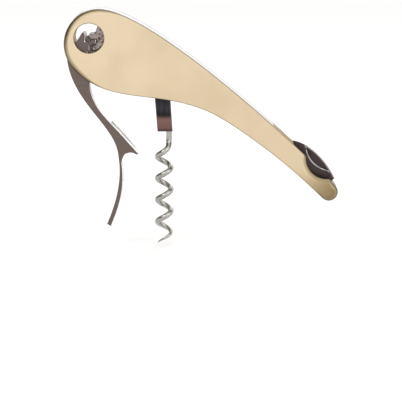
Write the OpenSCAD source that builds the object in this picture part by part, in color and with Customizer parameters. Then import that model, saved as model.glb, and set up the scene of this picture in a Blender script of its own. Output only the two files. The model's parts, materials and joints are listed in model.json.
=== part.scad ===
// Lever corkscrew: a drop-shaped handle of two shells on a steel spine, a geared lever that
// rolls on a toothed quadrant inside the head, a worm that hangs in the middle, and a
// crescent foil blade in the tip.
// X runs along the handle, +Z is up and Y is the thickness. The origin is where the worm's
// axis meets the top of the bottle.

/* [Handle] */
// Radius of the round head
head_r = 14.4; // [13:0.1:17.4]
// Distance from the head's centre to the tip's centre
reach = 112.0; // [90:0.1:135]
// Radius of the tip
tip_r = 3.7; // [3:0.1:5]
// Slope of the handle below level, in degrees
slope = 32.8; // [25:0.1:40]
// Thickness of each shell
shell_t = 2.2; // [1.8:0.1:3]
// Clear gap between the two shells
gap = 12.4; // [12.4:0.1:16]
// Thickness of the spine strip
spine_t = 2.0; // [1.5:0.1:2.6]
// Distance from the spine's end to the tip's centre
spine_end = 34; // [29:1:55]
// Height of the underside's arch above the handle's axis
arch_h = 1.7; // [0:0.1:4]
// Distance of the arch's middle from the head's centre
arch_u = 59.9; // [45:0.1:70]

/* [Gearing] */
// Radius of the round eye through both shells
eye_r = 6.05; // [5:0.05:7]
// Distance of the eye behind the head's centre
eye_back = 4.8; // [3:0.1:8]
// Tooth module of the lever's hub and the quadrant
tooth_m = 1.525; // [1.3:0.005:1.6]
// Distance of the quadrant's centre ahead of the head's centre
quad_u = 2.9; // [0:0.1:4]
// Height of the quadrant's centre above the handle's axis
quad_w = 6.8; // [6:0.1:8]
// Direction from the quadrant's centre to the lever's centre, in degrees
link_dir = 203.5; // [200:0.5:210]
// Diameter of the link's pin
link_pin_d = 4.0; // [3:0.1:5]
// Diameter of the lever's pin
lever_pin_d = 3.2; // [2.6:0.1:3.6]
// Width of the link across the handle
link_t = 7.6; // [6:0.1:8]

/* [Lever] */
// Thickness of each cheek of the lever
cheek_t = 1.6; // [1.4:0.1:1.7]
// Length of the solid end of the tail, below the slot for the folded worm
tail_solid_l = 9; // [8:0.5:16]
// Drop from the lever's centre to the bottle's lip
lip_drop = 44.0; // [38:0.5:50]
// Distance from the lever's centre to the tip of the claw
claw_reach = 22.8; // [20:0.1:26]
// Drop from the lever's centre to the end of the tail
tail_drop = 73.8; // [64:0.5:84]

/* [Worm] */
// Diameter of the worm's wire
wire_d = 2.4; // [2:0.1:2.8]
// Outside diameter of the worm
worm_od = 7.8; // [7:0.1:8.2]
// Pitch of the worm
worm_pitch = 9.0; // [8:0.1:10]
// Turns of the worm
worm_turns = 4.5; // [4:0.1:5.4]
// Distance of the worm's pivot ahead of the head's centre
stem_u = 26.5; // [24:0.1:28]
// Height of the worm's pivot above the handle's axis
stem_w = 5.2; // [4:0.1:7]
// Width of the stem
stem_width = 6.2; // [5:0.1:7]
// Thickness of the stem across the handle
stem_t = 6.0; // [5:0.1:7]
// Length of the stem below its pivot
stem_l = 26.2; // [22:0.1:30]
// Diameter of the worm's pivot pin
stem_pin_d = 4.0; // [3:0.1:4.4]

/* [Foil blade] */
// Length of the blade from its pivot to its point
blade_l = 23.8; // [20:0.1:28]
// Thickness of the blade
blade_t = 2.4; // [1.6:0.1:3]
// Diameter of the blade's pin
blade_pin_d = 2.6; // [2:0.1:3]
// Radius of the thumb scoop in each shell
scoop_r = 8.5; // [7:0.1:10]

/* [Fits] */
// Radial clearance of a pin that something turns on
run_fit = 0.04; // [0.02:0.01:0.08]
// Gap between the lever's faces and the shells
pass_gap = 0.3; // [0.3:0.05:0.5]
// Depth of a blind seat in a shell
seat_depth = 1.2; // [0.8:0.1:1.4]

/* [Hidden] */
$fn = 64;

inner_y = gap / 2;
lever_w = gap - 2 * pass_gap;
outer_y = inner_y + shell_t;
cheek_in = lever_w / 2 - cheek_t;
seat_y = inner_y + seat_depth;

// Gearing: teeth in a full turn, and pitch radii
hub_teeth = 6;
quad_teeth = 12;
hub_pitch_r = tooth_m * hub_teeth / 2;
quad_pitch_r = tooth_m * quad_teeth / 2;
centre_l = hub_pitch_r + quad_pitch_r;

// The handle's frame: u runs down the handle from the head's centre and w stands square to it
function turn(p, a) = [p[0] * cos(a) - p[1] * sin(a), p[0] * sin(a) + p[1] * cos(a)];
stem_offset = 1.3;
foot_above_lip = 9.3;
lip_z = stem_l + foot_above_lip;
head = [-stem_offset, lip_z] - turn([stem_u, stem_w], -slope);
quad_c = head + turn([quad_u, quad_w], -slope);
lever_c = quad_c + turn([centre_l, 0], link_dir);
stem_c = [-stem_offset, lip_z];

function mix(a, b, t) = a + (b - a) * t;
function bezier(a, b, c, d, n) = [for (i = [0:n]) let (t = i / n)
    a * pow(1 - t, 3) + b * 3 * t * pow(1 - t, 2) + c * 3 * t * t * (1 - t) + d * pow(t, 3)];
function arc(c, r, a, b, n) = [for (i = [0:n])
    let (q = mix(a, b, i / n)) c + [r * cos(q), r * sin(q)]];
function tail(list) = [for (i = [1:len(list) - 1]) list[i]];
function inside(list) = [for (i = [1:len(list) - 2]) list[i]];
function backwards(list) = [for (i = [len(list) - 1:-1:0]) list[i]];

// A path moved square to itself by d, to its right where d is positive
function shifted(path, d) = [for (i = [0:len(path) - 1])
    let (a = path[max(i - 1, 0)], b = path[min(i + 1, len(path) - 1)], v = b - a)
    path[i] + [v[1], -v[0]] / norm(v) * d];

// Puts what is drawn in the handle's frame into the corkscrew's
module in_handle() {
    translate([head[0], 0, head[1]]) rotate([0, slope, 0]) children();
}

// An outline in X and Z, thickened from y0 to y1
module slab(y0, y1) {
    translate([0, max(y0, y1), 0]) rotate([90, 0, 0])
        linear_extrude(height = abs(y1 - y0)) children();
}

// A round bar along Y
module rod(at, r, y0, y1) {
    translate([at[0], max(y0, y1), at[1]]) rotate([90, 0, 0]) cylinder(r = r, h = abs(y1 - y0));
}

// A ring along Y, bored for a pin
module collar(at, r, bore_r, y0, y1) {
    difference() {
        rod(at, r, y0, y1);
        rod(at, bore_r, min(y0, y1) - 1, max(y0, y1) + 1);
    }
}

// Handle outline ------------------------------------------------------------
head_top = 118;
head_low = 253.5;
tip_top = 59.6;
tip_low = -102.9;
arch_fall = 0.5;
// How far each curve is pulled along its end directions: start, then end
top_pull = [24.3, 4.9];
head_pull = [23.2, 27.8];
tip_pull = [16.3, 16.7];
function heading(a) = [cos(a), sin(a)];
tip = [reach, 0];
head_top_at = head_r * heading(head_top);
tip_top_at = tip + tip_r * heading(tip_top);
top_edge = bezier(head_top_at, head_top_at + top_pull[0] * heading(head_top - 90),
                  tip_top_at - top_pull[1] * heading(tip_top - 90), tip_top_at, 26);
arch_mid = [arch_u, arch_h];
head_low_at = head_r * heading(head_low);
tip_low_at = tip + tip_r * heading(tip_low);
low_head = bezier(head_low_at, head_low_at + head_pull[0] * heading(head_low + 90),
                  arch_mid - head_pull[1] * heading(arch_fall), arch_mid, 16);
low_tip = bezier(arch_mid, arch_mid + tip_pull[0] * heading(arch_fall),
                 tip_low_at - tip_pull[1] * heading(tip_low + 90), tip_low_at, 12);
head_arc = arc([0, 0], head_r, head_top, head_low, 30);
tip_arc = arc(tip, tip_r, tip_low, tip_top, 18);
handle_outline = concat(head_arc, tail(low_head), tail(low_tip), tail(tip_arc),
                        inside(backwards(top_edge)));

// Places along the handle ---------------------------------------------------
eye = [-eye_back, 0];
quad_at = [quad_u, quad_w];
stem_at = [stem_u, stem_w];
scoop_at = tip + [-8.2, 11.2];
stop_at = [stem_u + 9.5, stem_w + 4.9];
spine_l = reach - spine_end;
spacer_at = [spine_l, 7.1];
quad_pins_at = [quad_at + [0.2, 2.6] * 1.9, quad_at + [3.4, -2.2]];
spine_mid = shifted(top_edge, spine_t / 2);
spine_pins_at = [for (i = [6, 10, 14]) spine_mid[i]];
spine_pin_r = 0.8;
quad_pin_r = 0.9;
stop_r = 1.2;
spacer_r = 1.2;

// Shells ----------------------------------------------------------------------
module shell(side) {
    a = side * inner_y;
    b = side * outer_y;
    seat = side * seat_y;
    start = side * (inner_y - 1);
    color([0.86, 0.79, 0.67]) in_handle() difference() {
        slab(a, b) polygon(handle_outline);
        rod(eye, eye_r, side * (inner_y - 1), side * (outer_y + 1));
        rod(quad_at, link_pin_d / 2 + 0.01, start, seat);
        rod(stem_at, stem_pin_d / 2 + 0.01, start, seat);
        rod(tip, blade_pin_d / 2 + 0.01, start, seat);
        rod(stop_at, stop_r + 0.01, start, seat);
        rod(spacer_at, spacer_r + 0.01, start, seat);
        for (p = quad_pins_at) rod(p, quad_pin_r + 0.01, start, seat);
        for (p = spine_pins_at) rod(p, spine_pin_r + 0.01, start, seat);
        translate([scoop_at[0], side * (inner_y - 0.01), scoop_at[1]]) rotate([-90 * side, 0, 0])
            cylinder(r1 = scoop_r, r2 = scoop_r + 2 * shell_t / 2, h = shell_t + 0.02);
    }
}
module front_shell() shell(-1);
module rear_shell() shell(1);

// Spine: a bent strip that closes the back of the handle, flush with both shells
module spine() {
    upto = [for (p = top_edge) if (p[0] < spine_l) p];
    last = upto[len(upto) - 1];
    beyond = top_edge[len(upto)];
    end = mix(last, beyond, (spine_l - last[0]) / (beyond[0] - last[0]));
    path = concat(arc([0, 0], head_r, 150, head_top, 5), tail(upto), [end]);
    color([0.8, 0.8, 0.8]) in_handle() difference() {
        slab(-inner_y, inner_y) polygon(concat(path, backwards(shifted(path, spine_t))));
        for (p = spine_pins_at) rod(p, spine_pin_r + 0.01, -inner_y - 1, inner_y + 1);
    }
}
module spine_pins() {
    color([0.7, 0.7, 0.7]) in_handle() for (p = spine_pins_at) rod(p, spine_pin_r, -seat_y, seat_y);
}

// Gearing -----------------------------------------------------------------------
// One tooth pointing along a: foot, flank, shoulder and rounded top
function tooth(root_r, pitch_r, tip_r, a, foot, flank, top) = [
    root_r * heading(a - foot), pitch_r * heading(a - flank),
    mix(pitch_r, tip_r, 0.7) * heading(a - top), tip_r * heading(a - top * 0.4),
    tip_r * heading(a + top * 0.4), mix(pitch_r, tip_r, 0.7) * heading(a + top),
    pitch_r * heading(a + flank), root_r * heading(a + foot)];

root_drop = 1.25 * tooth_m;
hub_root_r = hub_pitch_r - root_drop;
hub_tip_r = hub_pitch_r + tooth_m;
quad_root_r = quad_pitch_r - root_drop;
quad_tip_r = quad_pitch_r + tooth_m;
hub_first = link_dir - 180 + 5.5;
quad_gap_dir = link_dir - 5.5 * hub_teeth / quad_teeth;

// Quadrant: a toothed fan pinned flat against its shell
module quadrant(side) {
    pitch_a = 360 / quad_teeth;
    teeth = [for (i = [-1:1]) each tooth(quad_root_r, quad_pitch_r, quad_tip_r,
        quad_gap_dir + slope + (i + 0.5) * pitch_a, 9.5, 6.6, 4.4)];
    first = quad_gap_dir + slope - pitch_a;
    last = quad_gap_dir + slope + 2 * pitch_a;
    fan = concat(teeth, arc([0, 0], quad_root_r, last - 8, last + 4, 2),
                 arc([0, 0], 6.2, last + 16, first + 360 - 76, 12),
                 arc([0, 0], quad_root_r + 0.2, first + 360 - 64, first + 360 - 2, 8));
    color([0.61, 0.57, 0.55]) in_handle() difference() {
        translate([quad_at[0], 0, quad_at[1]]) slab(side * cheek_in, side * inner_y) polygon(fan);
        rod(quad_at, link_pin_d / 2 + 0.01, -outer_y, outer_y);
        for (p = quad_pins_at) rod(p, quad_pin_r + 0.01, -outer_y, outer_y);
    }
}
module front_quadrant() quadrant(-1);
module rear_quadrant() quadrant(1);
module quadrant_pins() {
    color([0.7, 0.7, 0.7]) in_handle() for (p = quad_pins_at) for (side = [-1, 1])
        rod(p, quad_pin_r, side * cheek_in, side * seat_y);
}

// Link: a solid arm from the quadrant's centre to the lever's centre
module link() {
    a = link_t / 2;
    end_r = lever_pin_d / 2 + 1.7;
    root_r = link_pin_d / 2 + 2.2;
    color([0.45, 0.44, 0.43]) translate([quad_c[0], 0, quad_c[1]]) rotate([0, -link_dir, 0]) difference() {
        union() {
            rod([0, 0], root_r, -a, a);
            rod([centre_l, 0], end_r, -a, a);
            slab(-a, a) polygon([[0, -root_r], [centre_l, -end_r], [centre_l, end_r], [0, root_r]]);
        }
        rod([0, 0], link_pin_d / 2 + run_fit, -a - 1, a + 1);
        rod([centre_l, 0], lever_pin_d / 2 + run_fit, -a - 1, a + 1);
    }
}
module link_pin() color([0.7, 0.7, 0.7]) in_handle() rod(quad_at, link_pin_d / 2, -seat_y, seat_y);
module link_collars() {
    color([0.75, 0.68, 0.5]) in_handle() for (side = [-1, 1])
        collar(quad_at, link_pin_d / 2 + 1.2, link_pin_d / 2 + run_fit, side * (link_t / 2 + 0.05),
               side * (cheek_in - 0.05));
}

// Lever ------------------------------------------------------------------------
// Points measured from the lever's own centre, hanging as it stands on a bottle
claw = [claw_reach, -lip_drop + 0.3];
tail_end = [claw_reach - 11.7, -tail_drop];
knee = [claw_reach - 9.0, -lip_drop + 1.5];
outer_edge = concat(bezier([-6.8, -2.8], [-6.2, -20.8], [11.6, -31.3], knee, 16),
                    tail(bezier(knee, knee + [1.3, -6.8],
                                tail_end + [4.5, 15.5], tail_end + [-1.7, 1.0], 12)));
claw_top = bezier([2.4, -12.0], [2.9, -24], [8.2, -27.4], claw + [-5.5, 6.3], 10);
arch_in = bezier(claw + [-1.2, -0.3], claw + [-4, 1.4], claw + [-6.6, 0.6], claw + [-7.1, -3.8], 8);
tail_in = bezier(claw + [-7.1, -3.8], claw + [-6.3, -11.5], tail_end + [5.4, 12.5], tail_end, 12);

module lever_side() {
    teeth = [for (i = [-1:1]) each tooth(hub_root_r, hub_pitch_r, hub_tip_r,
        hub_first + i * 360 / hub_teeth, 17, 12.2, 8.5)];
    toothed = [for (i = [0:len(teeth) - 3]) teeth[i]];
    polygon(concat(outer_edge, backwards(tail_in), tail(backwards(arch_in)), [claw],
                   tail(backwards(claw_top)), [[3.4, -6.2]], toothed,
                   [[-2.5, 2.6], [-5.2, 2.6], [-6.6, -0.4]]));
}

// The slot between the cheeks that the worm folds into, and the one that the link turns in
worm_slot = [10.7, -31];
link_slot_drop = 7.6;
module lever() {
    half = lever_w / 2;
    color([0.44, 0.38, 0.36]) translate([lever_c[0], 0, lever_c[1]]) difference() {
        slab(-half, half) lever_side();
        slab(-cheek_in, cheek_in) translate([-15, -link_slot_drop]) square([30, 20]);
        slab(-cheek_in, cheek_in) polygon([worm_slot, [claw_reach + 5, worm_slot[1] + 4],
            [claw_reach + 5, tail_end[1] + tail_solid_l], [tail_end[0] - 5, tail_end[1] + tail_solid_l],
            [worm_slot[0], tail_end[1] + tail_solid_l + 12]]);
        rod([0, 0], lever_pin_d / 2 + 0.01, -half - 1, half + 1);
    }
}
module lever_pin() {
    color([0.44, 0.38, 0.36]) rod(lever_c, lever_pin_d / 2, -lever_w / 2, lever_w / 2);
}
module lever_collars() {
    color([0.75, 0.68, 0.5]) for (side = [-1, 1])
        collar(lever_c, lever_pin_d / 2 + 1.0, lever_pin_d / 2 + 0.02, side * (link_t / 2 + 0.05),
               side * (cheek_in - 0.05));
}

// Worm --------------------------------------------------------------------------
coil_r = (worm_od - wire_d) / 2;
neck_x = 2.0;
foot_z = stem_c[1] - stem_l;
coil_top = foot_z - 4.4;
ring_sides = 8;
rings_turn = 20;
worm_rings = round(worm_turns * rings_turn);
socket_l = 5;

// The wire's centre line: straight out of the stem, then down the coil
function coil_point(i) = let (t = i / rings_turn, ease = min(t * 4, 1), r = mix(neck_x, coil_r, ease))
    [r * cos(-360 * t), r * sin(-360 * t), coil_top - worm_pitch * (t + 0.2 * (1 - exp(-t * 8)))];
wire_path = concat([[neck_x, 0, foot_z + socket_l], [neck_x, 0, foot_z - 1.6]],
                   [for (i = [0:worm_rings]) coil_point(i)]);
function wire_r(i) = let (left = len(wire_path) - 1 - i) wire_d / 2 * min(1, 0.12 + left / 14);
function unit(v) = v / norm(v);
function ring(i) = let (n = len(wire_path) - 1,
    d = unit(wire_path[min(i + 1, n)] - wire_path[max(i - 1, 0)]),
    side = unit(cross(d, [0.3, 1, 0.1])), up = cross(side, d))
    [for (k = [0:ring_sides - 1]) wire_path[i] + wire_r(i) * (side * cos(360 * k / ring_sides)
        + up * sin(360 * k / ring_sides))];

module worm() {
    count = len(wire_path);
    points = [for (i = [0:count - 1]) each ring(i)];
    start_cap = [[for (k = [0:ring_sides - 1]) k]];
    end_cap = [[for (k = [ring_sides - 1:-1:0]) (count - 1) * ring_sides + k]];
    walls = [for (i = [0:count - 2]) for (k = [0:ring_sides - 1])
        let (n = (k + 1) % ring_sides, a = i * ring_sides, b = a + ring_sides)
        each [[a + k, b + k, b + n], [a + k, b + n, a + n]]];
    color([0.72, 0.71, 0.7]) polyhedron(points, concat(start_cap, end_cap, walls), convexity = 8);
}

module worm_stem() {
    a = stem_t / 2;
    w = stem_width / 2;
    head_w = w + 0.9;
    color([0.3, 0.29, 0.31]) difference() {
        union() {
            rod(stem_c, head_w + 0.4, -a, a);
            slab(-a, a) polygon([stem_c + [-head_w, 0], stem_c + [-w + 0.5, -11], [0.4 - w, foot_z],
                                 [0.4 + w, foot_z], stem_c + [w + 0.7, -11], stem_c + [head_w, 0]]);
        }
        rod(stem_c, stem_pin_d / 2 + run_fit, -a - 1, a + 1);
        translate([neck_x, 0, foot_z - 1]) cylinder(r = wire_d / 2 + 0.02, h = socket_l + 1.05);
    }
}
module stem_pin() color([0.7, 0.7, 0.7]) in_handle() rod(stem_at, stem_pin_d / 2, -seat_y, seat_y);
module stem_collars() {
    color([0.75, 0.68, 0.5]) in_handle() for (side = [-1, 1])
        collar(stem_at, stem_pin_d / 2 + 1.1, stem_pin_d / 2 + run_fit,
               side * (stem_t / 2 + 0.1), side * inner_y);
}
module stem_stop() color([0.7, 0.7, 0.7]) in_handle() rod(stop_at, stop_r, -seat_y, seat_y);

// Foil blade -------------------------------------------------------------------
blade_point = [-blade_l, 9.4];
blade_back = bezier(blade_point, [-blade_l + 6.4, 12.4], [-7.4, 10.2], [-0.3, 5.6], 12);
blade_edge = bezier([-3.1, 1.0], [-8.4, 1.0], [-blade_l + 7.4, 2.5], blade_point, 12);
nick_from = [-17.5, 9.9];
nick_to = [-4.5, 6.6];
nick = bezier(nick_from, [-15, 6.1], [-9.6, 4.4], nick_to, 12);
nick_depth = 0.35;

module foil_blade() {
    a = blade_t / 2;
    tang_r = tip_r - 0.3;
    color([0.3, 0.3, 0.31]) in_handle() translate([reach, 0, 0]) difference() {
        union() {
            rod([0, 0], tang_r, -a, a);
            slab(-a, a) polygon(concat(blade_back, [[-1.2, 3.4], [0, 0]], inside(blade_edge)));
        }
        rod([0, 0], blade_pin_d / 2 + run_fit, -a - 1, a + 1);
        slab(-a - 1, -a + nick_depth) polygon(nick);
        slab(a - nick_depth, a + 1) polygon(nick);
    }
}
module blade_pin() color([0.7, 0.7, 0.7]) in_handle() rod(tip, blade_pin_d / 2, -seat_y, seat_y);
washer_t = 0.5;
module blade_washers() {
    color([0.75, 0.68, 0.5]) in_handle() for (side = [-1, 1])
        collar(tip, tip_r - 0.4, blade_pin_d / 2 + run_fit, side * (blade_t / 2 + 0.05),
               side * (blade_t / 2 + 0.05 + washer_t));
}
module blade_collars() {
    color([0.7, 0.7, 0.7]) in_handle() for (side = [-1, 1])
        collar(tip, tip_r - 0.3, blade_pin_d / 2 + run_fit, side * (blade_t / 2 + 0.05 + washer_t),
               side * inner_y);
}
module tip_spacer() color([0.7, 0.7, 0.7]) in_handle() rod(spacer_at, spacer_r, -seat_y, seat_y);

front_shell();
rear_shell();
spine();
spine_pins();
front_quadrant();
rear_quadrant();
quadrant_pins();
link();
link_pin();
link_collars();
lever();
lever_pin();
lever_collars();
worm_stem();
worm();
stem_pin();
stem_collars();
stem_stop();
foil_blade();
blade_pin();
blade_collars();
blade_washers();
tip_spacer();
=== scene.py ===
# %% [markdown]
# # A lever corkscrew
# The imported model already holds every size, place and joint. This lesson gives its pieces the finish
# of the real tool: rounded rims, ground edges, a turned wire, and metals that differ in colour and grain.
# Most pieces of a corkscrew are stamped or milled plates, so one helper does most of the work: it
# slices a plain piece of the model, smooths the outline, and builds the plate again with worn edges.

# %% Load the frame
import json
import math

import bmesh
import bpy
import numpy as np
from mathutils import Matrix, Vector
from mathutils.geometry import delaunay_2d_cdt


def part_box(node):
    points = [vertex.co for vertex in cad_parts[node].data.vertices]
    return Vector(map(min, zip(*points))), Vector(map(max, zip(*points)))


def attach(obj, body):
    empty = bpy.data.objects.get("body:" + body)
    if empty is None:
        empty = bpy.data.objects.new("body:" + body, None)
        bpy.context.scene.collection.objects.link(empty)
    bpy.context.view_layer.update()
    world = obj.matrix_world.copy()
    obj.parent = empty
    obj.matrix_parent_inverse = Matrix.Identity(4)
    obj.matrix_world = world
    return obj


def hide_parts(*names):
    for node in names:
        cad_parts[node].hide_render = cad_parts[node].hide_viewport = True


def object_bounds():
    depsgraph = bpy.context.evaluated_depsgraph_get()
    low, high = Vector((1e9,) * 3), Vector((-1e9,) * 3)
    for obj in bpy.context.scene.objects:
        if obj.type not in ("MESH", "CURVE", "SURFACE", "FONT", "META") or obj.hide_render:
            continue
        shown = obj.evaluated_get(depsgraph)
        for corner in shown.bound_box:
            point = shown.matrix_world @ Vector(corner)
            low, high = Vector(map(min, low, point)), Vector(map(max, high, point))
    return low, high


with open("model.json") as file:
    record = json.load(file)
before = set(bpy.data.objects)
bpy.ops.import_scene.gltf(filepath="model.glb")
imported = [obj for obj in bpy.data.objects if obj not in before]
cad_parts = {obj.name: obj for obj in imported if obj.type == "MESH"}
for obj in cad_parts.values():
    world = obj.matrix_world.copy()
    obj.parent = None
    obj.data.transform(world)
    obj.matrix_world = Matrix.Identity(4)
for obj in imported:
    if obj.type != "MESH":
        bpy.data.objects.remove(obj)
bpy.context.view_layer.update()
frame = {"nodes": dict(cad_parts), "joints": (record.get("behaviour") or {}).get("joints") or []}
nodes = frame["nodes"]
joint_at = {joint["name"]: Vector(joint["pos_m"]) for joint in frame["joints"]}
mm = 0.001

# %% [markdown]
# ## Camera
# A long lens from a little above the table shows the handle almost square on, with a sliver of its
# steel back. The camera stays first in the script, so that every later step can be looked at.

# %% Camera
camera_distance = 1.0
camera_lift = 8.0
camera_lens = 216.3
aim = Vector((15.2 * mm, 0, -19.9 * mm))
lift = math.radians(camera_lift)
eye_data = bpy.data.cameras.new("camera")
eye_data.lens = camera_lens
eye_data.sensor_width = 36
camera = bpy.data.objects.new("camera", eye_data)
bpy.context.scene.collection.objects.link(camera)
camera.location = aim + camera_distance * Vector((0, -math.cos(lift), math.sin(lift)))
camera.rotation_euler = (math.radians(90) - lift, 0, 0)
bpy.context.scene.camera = camera
bpy.context.scene.view_settings.view_transform = "Standard"
print("camera at", [round(c, 4) for c in camera.location])

# %% [markdown]
# ## Shader sums
# A finish is easier to read as a sum than as a web of nodes. `Wire` wraps one socket and overloads
# the operators, so `1 - wear` or `grain * 0.3` add their own Math nodes. Every other node comes from
# `Finish.node`, which takes the node's type, then its settings, then what goes into its sockets.

# %% The shader helpers
class Wire:
    def __init__(self, finish, socket):
        self.finish = finish
        self.socket = socket

    def sum(self, operation, first, second):
        return self.finish.node("ShaderNodeMath", {"operation": operation}, {0: first, 1: second})

    def __add__(self, other):
        return self.sum("ADD", self, other)

    def __radd__(self, other):
        return self.sum("ADD", other, self)

    def __sub__(self, other):
        return self.sum("SUBTRACT", self, other)

    def __rsub__(self, other):
        return self.sum("SUBTRACT", other, self)

    def __mul__(self, other):
        return self.sum("MULTIPLY", self, other)

    def __rmul__(self, other):
        return self.sum("MULTIPLY", other, self)

    def between(self, low, high):
        """0 at low, 1 at high, smooth between."""
        settings = {"interpolation_type": "SMOOTHSTEP"}
        inputs = {"Value": self, "From Min": low, "From Max": high}
        return self.finish.node("ShaderNodeMapRange", settings, inputs)


class Finish:
    def __init__(self, name, **constants):
        self.material = bpy.data.materials.new(name)
        self.material.use_nodes = True
        self.tree = self.material.node_tree
        self.shader = self.tree.nodes["Principled BSDF"]
        for socket, value in constants.items():
            self.feed(socket.replace("_", " ").title().replace("Ior", "IOR"), value)

    def feed(self, socket, value):
        self.join(self.shader.inputs[socket], value)

    def join(self, target, value):
        if isinstance(value, Wire):
            self.tree.links.new(value.socket, target)
        elif hasattr(target.default_value, "__len__") and len(value) == 3 and len(target.default_value) == 4:
            target.default_value = (*value, 1.0)
        else:
            target.default_value = value

    def node(self, kind, settings=None, inputs=None, out=0):
        made = self.tree.nodes.new(kind)
        for name, value in (settings or {}).items():
            if name == "stops":
                for stop, (place, colour) in zip(made.color_ramp.elements, value):
                    stop.position = place
                    stop.color = (*colour, 1.0)
            else:
                setattr(made, name, value)
        for name, value in (inputs or {}).items():
            self.join(made.inputs[name], value)
        return Wire(self, made.outputs[out])

    def place(self, stretch=(1, 1, 1), tilt=0.0):
        """Object coordinates, stretched, and turned about Y by tilt degrees."""
        here = self.node("ShaderNodeTexCoord", out="Object")
        inputs = {"Vector": here, "Rotation": (0, math.radians(tilt), 0), "Scale": stretch}
        return self.node("ShaderNodeMapping", {}, inputs)

    def noise(self, size, detail=3.0, stretch=(1, 1, 1), tilt=0.0):
        """Noise whose lumps are about size metres across."""
        inputs = {"Vector": self.place(stretch, tilt), "Scale": 1 / size, "Detail": detail}
        return self.node("ShaderNodeTexNoise", {}, inputs)

    def rim_polish_and_painted_light(self):
        """1 on a piece's rounded edges, fading to 0 on its faces: it makes rims smoother and places painted
        shade and painted highlights on them.
        """
        return self.node("ShaderNodeAttribute", {"attribute_name": "edge"}, out="Fac")

    def blend(self, share, first, second):
        """The colour first, turning to second as share goes from 0 to 1."""
        made = self.node("ShaderNodeMix", {"data_type": "RGBA"}, {0: share, 6: first, 7: second}, out=2)
        return made

    def banded(self, share, *stops):
        """A colour that runs through the stops, each a share and a colour."""
        colour = stops[0][1]
        for (low, _), (high, following) in zip(stops, stops[1:]):
            colour = self.blend(share.between(low, high), colour, following)
        return colour

    def bump(self, height, depth, strength=1.0):
        inputs = {"Height": height, "Distance": depth, "Strength": strength}
        self.feed("Normal", self.node("ShaderNodeBump", {}, inputs))

# %% [markdown]
# ## Metals
# The shells are champagne metal with a soft bead-blasted face and a polished rim. Real blasting is
# never even, so its grain, its colour and its gloss each vary at their own scale. The shells' colour also
# holds painted shade: darker down the handle and at the tip, and dark olive across the rims. The steel
# pieces share a recipe, ground in one direction: colour, how rough it is, the grinding angle and how
# deep, with painted highlights on their walls and painted lines on their roundings.

# %% Champagne shells
champagne = Finish("champagne_satin", metallic=0.9)
grain = champagne.noise(0.16 * mm, detail=4)
cloud = champagne.noise(17 * mm, detail=2)
brushing = champagne.noise(0.5 * mm, stretch=(0.035, 1, 1), tilt=-32.7)
rim_polish_and_painted_shade = champagne.rim_polish_and_painted_light()
along = champagne.node("ShaderNodeSeparateXYZ", {}, {0: champagne.place(tilt=-32.7)})
face_colour = champagne.blend(cloud.between(0.3, 0.7), (0.640, 0.520, 0.355), (0.700, 0.575, 0.405))
face_colour = champagne.blend(grain.between(0.35, 0.8) * 0.28, face_colour, (0.53, 0.41, 0.265))
# Painted shade: the face darkens a little down the handle, from the head towards the tip.
face_colour = champagne.blend(along.between(-40 * mm, 60 * mm) * 0.25, face_colour, (0.50, 0.37, 0.24))
# Painted shade colours: the first darkens the tip, the other two shade the rims.
tip_painted_shade, shade_olive, painted_line_olive = (0.25, 0.18, 0.09), (0.30, 0.235, 0.13), (0.085, 0.065, 0.035)
# Painted shade: the face turns dark olive brown over the last stretch towards the tip.
face_colour = champagne.blend(along.between(46 * mm, 69 * mm), face_colour, tip_painted_shade)
# Painted shade on the rims: across each rounding the colour runs from the face through half shade and olive
# to a dark olive line, standing in for the dark surroundings a rounded rim reflects.
half_shaded = champagne.blend(0.5, face_colour, shade_olive)
painted_rim_shade_bands = ((0.05, face_colour), (0.35, half_shaded), (0.65, shade_olive), (0.92, painted_line_olive))
champagne.feed("Base Color", champagne.banded(rim_polish_and_painted_shade, *painted_rim_shade_bands))
champagne.feed("Roughness", 0.40 + brushing * 0.10 + grain * 0.05 - rim_polish_and_painted_shade * 0.16)
champagne.bump(grain * (1 - rim_polish_and_painted_shade) + brushing * 0.6, 0.010 * mm, 0.7)
print("finish", champagne.material.name, len(champagne.tree.nodes), "nodes")

# %% Ground steels
def ground_steel(name, colour, bright, rough, tilt, line=None, depth=0.006, edge_rough=0.14, oiled=None):
    """Steel ground along one direction, tilt degrees below level. Its faces are colour, its walls are
    painted bright as a highlight, and the rounding between them is painted line: painted shade where line
    is darker than colour, painted sheen where it is paler. oiled is the colour of old oil in small patches."""
    steel = Finish(name, metallic=1.0)
    lines = steel.noise(0.28 * mm, detail=5, stretch=(0.03, 1, 1), tilt=-tilt)
    stain = steel.noise(5 * mm, detail=3)
    edge_polish_and_painted_light = steel.rim_polish_and_painted_light()
    body = steel.blend(lines.between(0.3, 0.72) * 0.6 + stain * 0.3, colour, [c * 1.4 for c in colour])
    if oiled:
        body = steel.blend(steel.noise(1.3 * mm, detail=3).between(0.48, 0.62), body, oiled)
    line = line or [c * 0.4 for c in colour]
    # Painted light: the faces keep their own colour, the roundings are painted with the line colour and the
    # walls painted bright as a highlight.
    steel.feed("Base Color", steel.banded(edge_polish_and_painted_light, (0.0, body), (0.45, line), (0.8, line), (1.0, bright)))
    steel.feed("Roughness", rough + lines * 0.14 - edge_polish_and_painted_light * (rough - edge_rough))
    steel.bump(lines, depth * mm, 0.8)
    return steel.material


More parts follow.
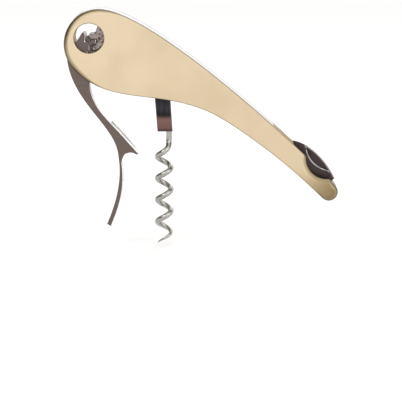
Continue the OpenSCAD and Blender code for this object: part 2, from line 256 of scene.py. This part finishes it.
# The third colour of each steel is its painted wall highlight, and the line colour (colour × 0.4 unless
# given) is painted on its roundings: dark painted shade, but a paler painted sheen on the blade.
lever_steel = ground_steel("lever_steel", (0.125, 0.096, 0.086), (0.88, 0.87, 0.86), 0.32, 52)
gear_steel = ground_steel("gear_steel", (0.26, 0.215, 0.21), (0.80, 0.78, 0.77), 0.24, 20,
                          (0.02, 0.014, 0.014), oiled=(0.085, 0.052, 0.046))
link_steel = ground_steel("link_steel", (0.11, 0.095, 0.09), (0.3, 0.29, 0.28), 0.34, -24)
spine_steel = ground_steel("spine_steel", (0.40, 0.39, 0.375), (0.50, 0.49, 0.475), 0.30, 33)
pin_steel = ground_steel("pin_steel", (0.42, 0.41, 0.40), (0.7, 0.69, 0.68), 0.24, 0)
blade_steel = ground_steel("blade_steel", (0.050, 0.038, 0.038), (0.90, 0.89, 0.88), 0.26, 40,
                           (0.30, 0.28, 0.27))
wire_steel = ground_steel("wire_steel", (0.34, 0.33, 0.31), (0.8, 0.79, 0.78), 0.10, 10, depth=0.002)

stem_steel = Finish("stem_steel", metallic=1.0)
drawn = stem_steel.noise(0.3 * mm, detail=4, stretch=(1, 1, 0.04))
height = stem_steel.node("ShaderNodeSeparateXYZ", {}, {0: stem_steel.place()}, out="Z")
# Painted reflection: colour bands by height stand in for the room mirrored in the polished face, dark at the
# foot, pinkish brown low down, bluish black higher up, and darkest at the top as painted shadow under the
# handle.
painted_reflection_and_shadow_bands = stem_steel.banded(height, (9.4 * mm, (0.03, 0.018, 0.018)), (11 * mm, (0.17, 0.085, 0.075)),
                              (14 * mm, (0.20, 0.105, 0.095)), (16.2 * mm, (0.016, 0.013, 0.016)),
                              (19 * mm, (0.030, 0.028, 0.034)), (24 * mm, (0.012, 0.011, 0.014)))
painted_reflection_and_shadow_bands = stem_steel.blend(drawn.between(0.4, 0.75) * 0.4, painted_reflection_and_shadow_bands, (0.10, 0.085, 0.085))
# The stem's rounded edges take a paler grey: a painted highlight.
stem_steel.feed("Base Color", stem_steel.blend(stem_steel.rim_polish_and_painted_light(), painted_reflection_and_shadow_bands, (0.15, 0.13, 0.13)))
stem_steel.feed("Roughness", 0.16 + drawn * 0.12)
stem_steel.bump(drawn, 0.003 * mm, 0.8)

brass = Finish("collar_brass", metallic=1.0)
turning = brass.noise(0.3 * mm, detail=4, stretch=(1, 0.05, 1))
brass.feed("Base Color", brass.blend(turning, (0.62, 0.47, 0.24), (0.78, 0.62, 0.36)))
brass.feed("Roughness", 0.22 + turning * 0.2)
brass.bump(turning, 0.004 * mm, 0.6)

# %% [markdown]
# ## Outlines from the frame
# Drawing each outline again by hand would let it drift from the model. Slicing a piece with a plane
# square to Y gives its outline exactly. The slice is made of short straight runs, so a spline through
# its points gives back the drawn curve, and only real corners stay sharp.

# %% Slice a node
def slices(node, y, smallest=0.0):
    """Closed outlines in X and Z of a CAD node cut at y: each runs with the metal on its left."""
    cut = bmesh.new()
    cut.from_mesh(nodes[node].data)
    bmesh.ops.remove_doubles(cut, verts=cut.verts, dist=1e-7)
    found = bmesh.ops.bisect_plane(cut, geom=cut.verts[:] + cut.edges[:] + cut.faces[:],
                                   plane_co=(0, y, 0), plane_no=(0, 1, 0), clear_outer=True)
    edges = [e for e in found["geom_cut"] if isinstance(e, bmesh.types.BMEdge)]
    beside = {}
    for edge in edges:
        a, b = edge.verts
        beside.setdefault(a, []).append(b)
        beside.setdefault(b, []).append(a)
    outlines = []
    while beside:
        here = next(iter(beside))
        path = []
        while here in beside:
            path.append((here.co.x, here.co.z))
            ahead = [v for v in beside.pop(here) if v in beside]
            here = ahead[0] if ahead else None
        outlines.append(np.array(path))
    cut.free()
    return [turned for turned in facing(outlines) if abs(area(turned)) > smallest]


def area(path):
    after = np.roll(path, -1, axis=0)
    return 0.5 * float(np.sum(path[:, 0] * after[:, 1] - after[:, 0] * path[:, 1]))


def holds(path, point):
    """True if the closed path goes round the point."""
    after = np.roll(path, -1, axis=0)
    above = (path[:, 1] > point[1]) != (after[:, 1] > point[1])
    reach = path[above]
    step = after[above] - reach
    return int(np.sum(reach[:, 0] + (point[1] - reach[:, 1]) / step[:, 1] * step[:, 0] > point[0])) % 2 == 1


def facing(outlines):
    """Turns each outline so that the metal is on its left: a hole runs the other way round."""
    done = []
    for k, path in enumerate(outlines):
        is_hole = any(holds(other, path[0]) for j, other in enumerate(outlines) if j != k)
        done.append(path if (area(path) > 0) != is_hole else path[::-1])
    return done

# %% [markdown]
# A centripetal spline passes through every point without looping near close ones. Runs between two
# corners are smoothed apart, so a tooth keeps its shoulders while a long curve loses its facets.

# %% Smooth an outline
def spline(before, first, second, after, count):
    """Points from first up to second on a centripetal spline."""
    points = [before, first, second, after]
    knots = [0.0]
    for a, b in zip(points, points[1:]):
        knots.append(knots[-1] + max(float(np.linalg.norm(b - a)), 1e-9) ** 0.5)
    t = np.linspace(knots[1], knots[2], count, endpoint=False)[:, None]

    def mixed(a, b, low, high):
        return ((high - t) * a + (t - low) * b) / (high - low)

    a1 = mixed(points[0], points[1], knots[0], knots[1])
    a2 = mixed(points[1], points[2], knots[1], knots[2])
    a3 = mixed(points[2], points[3], knots[2], knots[3])
    return mixed(mixed(a1, a2, knots[0], knots[2]), mixed(a2, a3, knots[1], knots[3]), knots[1], knots[2])


def smoothed(path, step=0.45 * mm, corner=30):
    """The outline again with even, short steps, smooth but for its corners."""
    path = np.array([p for p, q in zip(path, np.roll(path, 1, axis=0)) if np.linalg.norm(p - q) > 2e-6])
    ahead = np.roll(path, -1, axis=0) - path
    behind = path - np.roll(path, 1, axis=0)
    cross = behind[:, 0] * ahead[:, 1] - behind[:, 1] * ahead[:, 0]
    bend = np.abs(np.arctan2(cross, np.sum(ahead * behind, axis=1)))
    sharp = bend > math.radians(corner)
    count = len(path)
    out = []
    for i in range(count):
        first, second = path[i], path[(i + 1) % count]
        before = 2 * first - second if sharp[i] else path[i - 1]
        after = 2 * second - first if sharp[(i + 1) % count] else path[(i + 2) % count]
        pieces = max(1, round(float(np.linalg.norm(second - first)) / step))
        out.append(spline(before, first, second, after, pieces))
    return np.concatenate(out)


print("handle outline", len(smoothed(slices("front_shell", -7 * mm, 40 * mm * mm)[0])), "points")

# %% [markdown]
# ## Plates with worn edges
# A plate is its outline stood up as a wall, a quarter round over each edge, and two flat caps. Each
# ring of the rounding is the outline moved inwards, so the width of the rounding can change along the
# way: broad round the head of the handle, and only a broken edge along its sides.

# %% Build a plate
def inward(path):
    """At each point, the step that moves the outline one unit into the metal."""
    ahead = np.roll(path, -1, axis=0) - path
    ahead /= np.maximum(np.linalg.norm(ahead, axis=1), 1e-12)[:, None]
    left = np.stack([-ahead[:, 1], ahead[:, 0]], axis=1)
    both = left + np.roll(left, 1, axis=0)
    both /= np.maximum(np.linalg.norm(both, axis=1), 1e-9)[:, None]
    return both / np.maximum(np.sum(both * left, axis=1), 0.45)[:, None]


def new_piece(name, mesh, material, body, stands_for=()):
    """Makes an object of a bmesh, with smooth faces, sharp corners and its finish."""
    for edge in mesh.edges:
        edge.smooth = len(edge.link_faces) != 2 or edge.calc_face_angle(0) < math.radians(38)
    for face in mesh.faces:
        face.smooth = True
    data = bpy.data.meshes.new(name)
    mesh.to_mesh(data)
    mesh.free()
    data.materials.append(material)
    piece = bpy.data.objects.new(name, data)
    bpy.context.scene.collection.objects.link(piece)
    even = piece.modifiers.new("even_faces", "WEIGHTED_NORMAL")
    even.keep_sharp = True
    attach(piece, body)
    if stands_for:
        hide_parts(*stands_for)
    return piece


def ease(value, low, high):
    t = np.clip((value - low) / (high - low), 0, 1)
    return t * t * (3 - 2 * t)


def add_face(mesh, corners, outward):
    """A face whose normal looks outward."""
    if len(set(corners)) < 3:
        return
    face = mesh.faces.new(corners)
    face.normal_update()
    if face.normal.dot(outward) < 0:
        face.normal_flip()


def facing_right(path):
    """1 where the outside of the metal looks to the right, easing to 0."""
    return ease(-inward(path)[:, 0], 0.2, 0.6)


def add_plate(mesh, paths, face_y, back_y, edge, back_edge=0.0, scoop=None, rings=4, windows=(), gleam=None,
              closed=("back", "face")):
    """A plate from face_y back to back_y. edge and back_edge are the roundings' radii, or a function
    of the points that gives one for each. scoop gives how much each point belongs to a dished cut,
    and windows are outlines left open in the face alone. gleam gives where the rounding is painted as
    bright as the wall, a painted highlight, and closed names the sides that get a cap."""
    mark = mesh.verts.layers.float.get("edge") or mesh.verts.layers.float.new("edge")
    inner = 1 if back_y > face_y else -1
    depth = abs(back_y - face_y)
    caps = {"face": [], "back": []}
    for path in paths:
        step = inward(path)
        count = len(path)
        radius = edge(path) if callable(edge) else np.full(count, float(edge))
        back = back_edge(path) if callable(back_edge) else np.full(count, float(back_edge))
        dish = scoop(path) if scoop else np.zeros(count)
        bright = gleam(path) if gleam else np.zeros(count)
        stack = []
        if back.max() == 0:
            stack.append((back, depth, 1.0))
        else:
            for k in range(rings + 1):
                a = k / rings * math.pi / 2
                stack.append((back * (1 - math.sin(a)), depth - back * (1 - math.cos(a)), k / rings))
        turned_back = len(stack) - 1
        for k in range(rings + 1 if radius.max() > 0 else 1):
            a = k / rings * math.pi / 2
            inset = radius * (1 - math.cos(a)) * (1 - dish) + dish * depth * 0.9 * (k / rings) ** 1.5
            low = radius * (1 - math.sin(a)) * (1 - dish) + dish * depth * (1 - k / rings)
            stack.append((inset, low, 1 - (k / rings) ** (2 - dish)))
        loops = []
        for inset, low, polish_and_painted_light_share in stack:
            place = path + step * np.broadcast_to(inset, count)[:, None]
            low = np.broadcast_to(low, count)
            polish_and_painted_light_share = np.broadcast_to(polish_and_painted_light_share, count)
            loop = [mesh.verts.new((place[i, 0], face_y + inner * low[i], place[i, 1])) for i in range(count)]
            for i, vert in enumerate(loop):
                # The edge mark is 1 on the walls and fades over each rounding; the finishes turn it into a
                # smoother polish, painted shade lines and painted highlights, and gleam paints the rounding
                # as bright as the wall.
                vert[mark] = max(polish_and_painted_light_share[i], bright[i]) if polish_and_painted_light_share[i] > 0 else 0.0
            loops.append(loop)
        for k, (low_loop, high_loop) in enumerate(zip(loops, loops[1:])):
            lean = -inner if k > turned_back else (inner if k < turned_back else 0)
            for i in range(count):
                n = (i + 1) % count
                outward = Vector((-step[i, 0], 0.8 * lean, -step[i, 1]))
                add_face(mesh, (low_loop[i], low_loop[n], high_loop[n], high_loop[i]), outward)
        caps["back"].append(loops[0])
        caps["face"].append(loops[-1])
    for path in windows:
        caps["face"].append([mesh.verts.new((x, face_y, z)) for x, z in path])
    for name in closed:
        loops = caps[name]
        facing_out = Vector((0, inner if name == "back" else -inner, 0))
        verts = [v for loop in loops for v in loop]
        flat = [Vector((v.co.x, v.co.z)) / mm for v in verts]
        runs, start = [], 0
        for loop in loops:
            runs += [(start + i, start + (i + 1) % len(loop)) for i in range(len(loop))]
            start += len(loop)
        made, _, triangles, origins, _, _ = delaunay_2d_cdt(flat, runs, [], 2, 1e-5)
        level = verts[0].co.y
        ends = [verts[known[0]] if known else mesh.verts.new((p.x * mm, level, p.y * mm))
                for p, known in zip(made, origins)]
        around = [np.array([(v.co.x, v.co.z) for v in loop]) for loop in loops]
        for triangle in triangles:
            corners = [ends[i] for i in triangle]
            middle = sum((c.co for c in corners), Vector()) / 3
            if sum(holds(loop, (middle.x, middle.z)) for loop in around) % 2:
                add_face(mesh, corners, facing_out)
    bmesh.ops.remove_doubles(mesh, verts=mesh.verts, dist=1e-7)

# %% [markdown]
# ## Shells
# Both shells are cut from plate. The head and the tip are rounded over almost the full thickness,
# because a hand wraps round them, and the long sides only lose their burr. The thumb scoop is a round
# bite out of the outline, so that a nail can reach the blade. Distances from the head and the tip set
# the rounding.

# %% Shells
blade_pivot = joint_at["blade_swing"]
shell_low, shell_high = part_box("front_shell")
shell_thick = shell_high.y - shell_low.y
stem_pivot = joint_at["worm_swing"]
slope = math.radians(32.8)
tip_at = np.array([blade_pivot.x, blade_pivot.z])
down_handle = np.array([math.cos(slope), -math.sin(slope)])
up_handle = np.array([-down_handle[1], down_handle[0]])
head_at = np.array([stem_pivot.x, stem_pivot.z]) - 26.5 * mm * down_handle - 5.2 * mm * up_handle
scoop_radius = 8.5 * mm
scoop_at = tip_at - 8.2 * mm * down_handle + 11.2 * mm * up_handle


def shell_edge(path):
    """Broad at the head and the tip, a broken edge elsewhere, and a fine lip round the eye."""
    along = (path - head_at) @ down_handle
    high = (path - head_at) @ up_handle
    head = 1 - ease(along + 0.35 * high, -9 * mm, 9 * mm)
    end = ease(along, np.linalg.norm(tip_at - head_at) - 7 * mm, np.linalg.norm(tip_at - head_at) + 1 * mm)
    radius = 0.42 * mm + 1.63 * mm * np.maximum(head, end)
    return radius if area(path) > 0 else np.full(len(path), 0.4 * mm)


def in_scoop(path):
    """1 where the outline follows the thumb scoop, easing to 0 beside it."""
    away = np.abs(np.linalg.norm(path - scoop_at, axis=1) - scoop_radius)
    return 1 - ease(away, 0.12 * mm, 0.8 * mm)


def shell(name, side):
    mesh = bmesh.new()
    inner_y = side * (abs(shell_high.y))
    paths = [smoothed(p) for p in slices(name, inner_y + side * 0.02 * mm, 40 * mm * mm)]
    add_plate(mesh, paths, inner_y + side * shell_thick, inner_y, shell_edge, 0.15 * mm, in_scoop, rings=6)
    return new_piece(name + "_finished", mesh, champagne.material, "handle", [name])


for name, side in (("front_shell", -1), ("rear_shell", 1)):
    piece = shell(name, side)
    print(piece.name, len(piece.data.polygons), "faces")

# %% [markdown]
# ## Spine, quadrants and link
# These are plain ground plates. The spine shows as a bright strip along the handle's back, and the
# quadrants and the link show only through the eye.

# %% Plain plates
def plate(node, body, material, edge, share=0.5):
    """Rebuilds a CAD plate from its slice, a share of the way through, with both edges rounded."""
    low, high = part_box(node)
    mesh = bmesh.new()
    paths = [smoothed(p) for p in slices(node, low.y + share * (high.y - low.y))]
    add_plate(mesh, paths, low.y, high.y, edge, edge)
    return new_piece(node + "_finished", mesh, material, body, [node])


plate("spine", "handle", spine_steel, 0.12 * mm)
plate("front_quadrant", "handle", gear_steel, 0.14 * mm)
plate("rear_quadrant", "handle", gear_steel, 0.14 * mm)
plate("link", "link", link_steel, 0.35 * mm)

# %% [markdown]
# ## Lever
# The real lever is one forged bar. Two slots are milled out of its middle: one for the link inside
# the head, one that the folded worm lies in. It is built as two cheeks with the solid parts of the
# middle between them, all from slices, so the outside stays one continuous surface.

# %% Lever
lever_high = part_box("lever")[1]
cheek = 1.6 * mm
cheek_inner = lever_high.y - cheek


def lever_edge(path):
    """A broken edge, wider on the side towards the worm, and next to none where the pin sits flush."""
    return (0.16 + 0.34 * facing_right(path)) * mm if area(path) > 0 else np.full(len(path), 0.02 * mm)


def lever_piece():
    mesh = bmesh.new()
    for side in (-1, 1):
        paths = [smoothed(p, 0.4 * mm) for p in slices("lever", side * (lever_high.y - cheek / 2))]
        # The walls and roundings facing the worm are painted bright: a painted highlight strip along the
        # lever's inner edge.
        add_plate(mesh, paths, side * lever_high.y, side * cheek_inner, lever_edge, 0.0, gleam=facing_right)
    for path in slices("lever", 0.0):
        add_plate(mesh, [smoothed(path, 0.4 * mm)], -cheek_inner, cheek_inner, 0.0, 0.0, closed=())
    return new_piece("lever_finished", mesh, lever_steel, "lever", ["lever"])


print("lever", len(lever_piece().data.polygons), "faces")

# %% [markdown]
# ## Worm and stem
# The stem is a polished flat bar. The wire is one long tube swept along the coil, thinning over its
# last turn to a point. A Blender curve could do it, but sweeping rings in code lets the wire leave the
# stem straight and roll into the first turn as a bent rod does.

# %% Stem
plate("worm_stem", "worm", stem_steel.material, 0.55 * mm, share=0.08)

# %% Worm
stem_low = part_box("worm_stem")[0]
wire_r = 1.2 * mm
coil_r = 2.7 * mm
neck_x = 2.0 * mm
pitch = 9.0 * mm
turns = 4.5
foot_z = stem_low.z
coil_top = foot_z - 4.4 * mm


def coil_point(t):
    """A place on the wire, t turns below the start of the coil."""
    r = neck_x + (coil_r - neck_x) * float(ease(t, 0.0, 0.3))
    fall = pitch * (t + 0.2 * (1 - math.exp(-8 * t)))
    return np.array([r * math.cos(2 * math.pi * t), -r * math.sin(2 * math.pi * t), coil_top - fall])


def worm_piece():
    count = 56
    total = round(turns * count)
    path = [np.array([neck_x, 0, foot_z + 1.2 * mm])]
    path += [np.array([neck_x, 0, foot_z - 0.5 * k * mm]) for k in range(8)]
    path += [coil_point(i / count) for i in range(total + 1)]
    path = np.array(path)
    for _ in range(3):
        path[5:17] = (path[4:16] + 2 * path[5:17] + path[6:18]) / 4
    mesh = bmesh.new()
    sides = 20
    loops = []
    for i, here in enumerate(path):
        ahead = path[min(i + 1, len(path) - 1)] - path[max(i - 1, 0)]
        ahead /= np.linalg.norm(ahead)
        across = np.cross(ahead, [0.3, 1, 0.1])
        across /= np.linalg.norm(across)
        up = np.cross(across, ahead)
        left = (len(path) - 1 - i) / count
        r = wire_r * min(1.0, 0.05 + 1.05 * left ** 0.75)
        ring = [here + r * (across * math.cos(math.tau * k / sides) + up * math.sin(math.tau * k / sides))
                for k in range(sides)]
        loops.append([mesh.verts.new(p) for p in ring])
    for low, high in zip(loops, loops[1:]):
        for k in range(sides):
            n = (k + 1) % sides
            mesh.faces.new((low[k], low[n], high[n], high[k]))
    mesh.faces.new(loops[0])
    mesh.faces.new(loops[-1])
    bmesh.ops.recalc_face_normals(mesh, faces=mesh.faces)
    return new_piece("worm_finished", mesh, wire_steel, "worm", ["worm"])


print("worm", len(worm_piece().data.polygons), "faces; tip at", round(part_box("worm")[0].z / mm, 1), "mm")

# %% [markdown]
# ## Foil blade
# A crescent blade: a flat plate with a broad chamfer on its back, painted bright as a highlight, a fine
# one round the rest, and a nail nick. The nick has a steep wall along its curved lower side, painted
# bright as a highlight, and a floor that rises to its straight upper one, so light slides across it. It
# is a hole in the face with its own floor.

# %% Blade
blade_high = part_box("foil_blade")[1]


def at_tip(u, w):
    """A place measured in mm down the handle and square to it, from the blade's pivot."""
    return tip_at + (u * down_handle + w * up_handle) * mm


def bezier(a, b, c, d, count):
    t = np.linspace(0, 1, count + 1)[:, None]
    return a * (1 - t) ** 3 + 3 * b * t * (1 - t) ** 2 + 3 * c * t * t * (1 - t) + d * t ** 3


nick_start, nick_end = at_tip(-17.5, 9.9), at_tip(-4.5, 6.6)
nick_arc = bezier(nick_start, at_tip(-15.0, 6.1), at_tip(-9.6, 4.4), nick_end, 28)
nick_chord = nick_start + np.linspace(0, 1, 29)[:, None] * (nick_end - nick_start)


def blade_edge(path):
    """A broad chamfer on the back, a fine one elsewhere."""
    u = (path - tip_at) @ down_handle / mm
    w = (path - tip_at) @ up_handle / mm
    on_back = (w > 9.6 - 0.45 * (u + 12) - 1.2) & (u < 0.5) & (w > 5.2)
    return np.where((area(path) > 0) & on_back, 0.62 * mm, 0.16 * mm)


def add_nick(mesh, face_y, inner):
    """The hollow: a steep wall along the curved side, and a floor that rises to the straight one."""
    mark = mesh.verts.layers.float["edge"]
    rows = []
    for on_arc, on_chord in zip(nick_arc, nick_chord):
        across = on_chord - on_arc
        width = float(np.linalg.norm(across))
        wall = min(0.30 * mm, width * 0.25)
        foot = on_arc + across * (wall / width if width > 0 else 0)
        deep = min(0.42 * mm, width * 0.3)
        row = []
        # The steep wall is marked fully, so the blade's finish paints it bright: a painted highlight along
        # the curved side of the nick.
        for (x, z), low, polish_and_painted_light_share in ((on_arc, 0.0, 0.0), (on_arc + across * 0.05, deep * 0.15, 1.0),
                                  (foot, deep * 0.9, 1.0), (foot + across * 0.12, deep, 0.0),
                                  (on_chord, 0.0, 0.0)):
            vert = mesh.verts.new((x, face_y + inner * low, z))
            vert[mark] = polish_and_painted_light_share
            row.append(vert)
        rows.append(row)
    for low, high in zip(rows, rows[1:]):
        for k in range(len(low) - 1):
            corners = (low[k], low[k + 1], high[k + 1], high[k])
            add_face(mesh, corners, Vector((0, -inner, 0)))


def blade_piece():
    mesh = bmesh.new()
    outline = [smoothed(p, 0.3 * mm) for p in slices("foil_blade", 0.0)]
    nick = np.concatenate([nick_arc, nick_chord[-2:0:-1]])
    hole = nick if area(nick) < 0 else nick[::-1]
    for side in (-1, 1):
        y = side * blade_high.y
        add_plate(mesh, outline, y, 0.0, blade_edge, 0.0, windows=[hole], closed=["face"])
        add_nick(mesh, y, -side)
    bmesh.ops.remove_doubles(mesh, verts=mesh.verts, dist=2e-6)
    return new_piece("foil_blade_finished", mesh, blade_steel, "blade", ["foil_blade"])


print("blade", len(blade_piece().data.polygons), "faces")

# %% [markdown]
# ## Pins and collars
# Pins, collars and washers are true cylinders in the model already. They keep their shape and only
# take a finish.

# %% Pins and collars
turned = {"spine_pins": pin_steel, "quadrant_pins": pin_steel, "link_pin": pin_steel,
          "lever_pin": lever_steel, "stem_pin": pin_steel, "stem_stop": pin_steel, "blade_pin": pin_steel,
          "blade_collars": pin_steel, "tip_spacer": pin_steel, "link_collars": brass.material,
          "lever_collars": brass.material, "stem_collars": brass.material, "blade_washers": brass.material}
for name, material in turned.items():
    nodes[name].data.materials.clear()
    nodes[name].data.materials.append(material)
print("turned pieces", len(turned))

# %% [markdown]
# ## Floor and light
# A white floor, a large soft light over the left shoulder, a weaker one on the right and one behind
# give the metal broad gradients. The sky is white in front, behind, above and on the right, and darker
# on the left alone, which draws a dark line that shows a polished rim is round; that line is also
# painted into the rim colours as painted shade.

# %% Floor
floor_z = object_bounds()[0].z - 0.6 * mm
bpy.ops.mesh.primitive_plane_add(size=160, location=(0, 0, floor_z))
floor = bpy.context.object
floor.name = "floor"
paper = Finish("floor_paper", roughness=0.85)
fibre = paper.noise(3 * mm, detail=2)
paper.feed("Base Color", paper.blend(fibre, (0.90, 0.90, 0.895), (0.92, 0.92, 0.915)))
floor.data.materials.append(paper.material)

# %% Lights
def soft_light(name, place, size, power, colour=(1, 1, 1)):
    data = bpy.data.lights.new(name, "AREA")
    data.size = size
    data.energy = power
    data.color = colour
    light = bpy.data.objects.new(name, data)
    light.location = place
    light.rotation_euler = (Vector(place) - aim).to_track_quat("Z", "Y").to_euler()
    bpy.context.scene.collection.objects.link(light)


soft_light("key", (-0.55, -0.75, 0.75), 0.6, 2.5)
soft_light("fill", (0.7, -0.7, 0.35), 0.5, 1.0, (1, 0.985, 0.96))
soft_light("behind", (0.2, 0.8, 0.7), 0.7, 1.5)


class Sky(Finish):
    """The same node helpers, working on the world instead of a material."""
    def __init__(self, name):
        self.world = bpy.data.worlds.new(name)
        self.world.use_nodes = True
        self.tree = self.world.node_tree
        self.shader = self.tree.nodes["Background"]


dark_side, white = (0.16, 0.145, 0.11), (1, 1, 1)
sky = Sky("studio")
around = sky.node("ShaderNodeTexCoord", out="Generated")
to_the_right = sky.node("ShaderNodeSeparateXYZ", {}, {0: around}, out="X") * 0.5 + 0.5
stops = ((0.10, dark_side), (0.42, white))
sky.feed("Color", sky.node("ShaderNodeValToRGB", {"stops": stops}, {0: to_the_right}))
sky.feed("Strength", 1.3)
bpy.context.scene.world = sky.world
